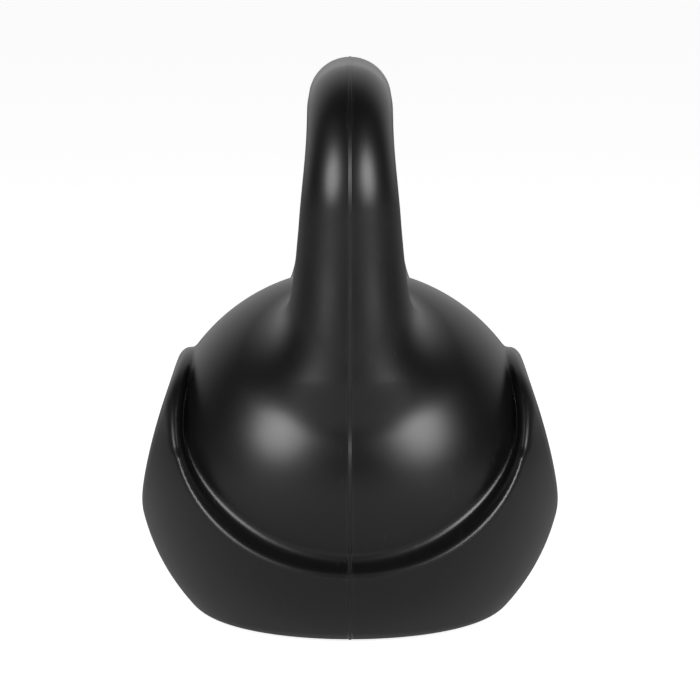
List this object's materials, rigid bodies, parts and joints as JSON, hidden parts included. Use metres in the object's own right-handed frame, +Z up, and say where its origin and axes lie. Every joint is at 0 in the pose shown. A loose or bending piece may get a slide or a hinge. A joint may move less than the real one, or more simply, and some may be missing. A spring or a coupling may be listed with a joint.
{
  "type": "kettlebell",
  "caption": "Plastic-shelled kettlebell: a round handle flares into a domed ball with a raised band, leaning flat faces and a flat base.",
  "frame": {"origin": "centre of the base, on the floor", "axes": "+Z up, X along the grip, Y through the body from front (-Y) to rear (+Y)"},
  "size_m": [0.1688, 0.1766, 0.2327],
  "materials": {
    "shell_plastic": "satin moulded, fine grain",
    "weld_plastic": "satin, trimmed weld",
    "ballast": "cast, rough",
    "rod_steel": "mill",
    "plug_plastic": "matt moulded",
    "gasket_rubber": "matt"
  },
  "bodies": {
    "root": {"front_shell_half": "shell_plastic", "rear_shell_half": "shell_plastic", "outer_weld_seam": "weld_plastic", "window_weld_seam": "weld_plastic", "ballast_core": "ballast", "handle_rod": "rod_steel", "filler_plug": "plug_plastic", "plug_gasket": "gasket_rubber"}
  },
  "joints": []
}
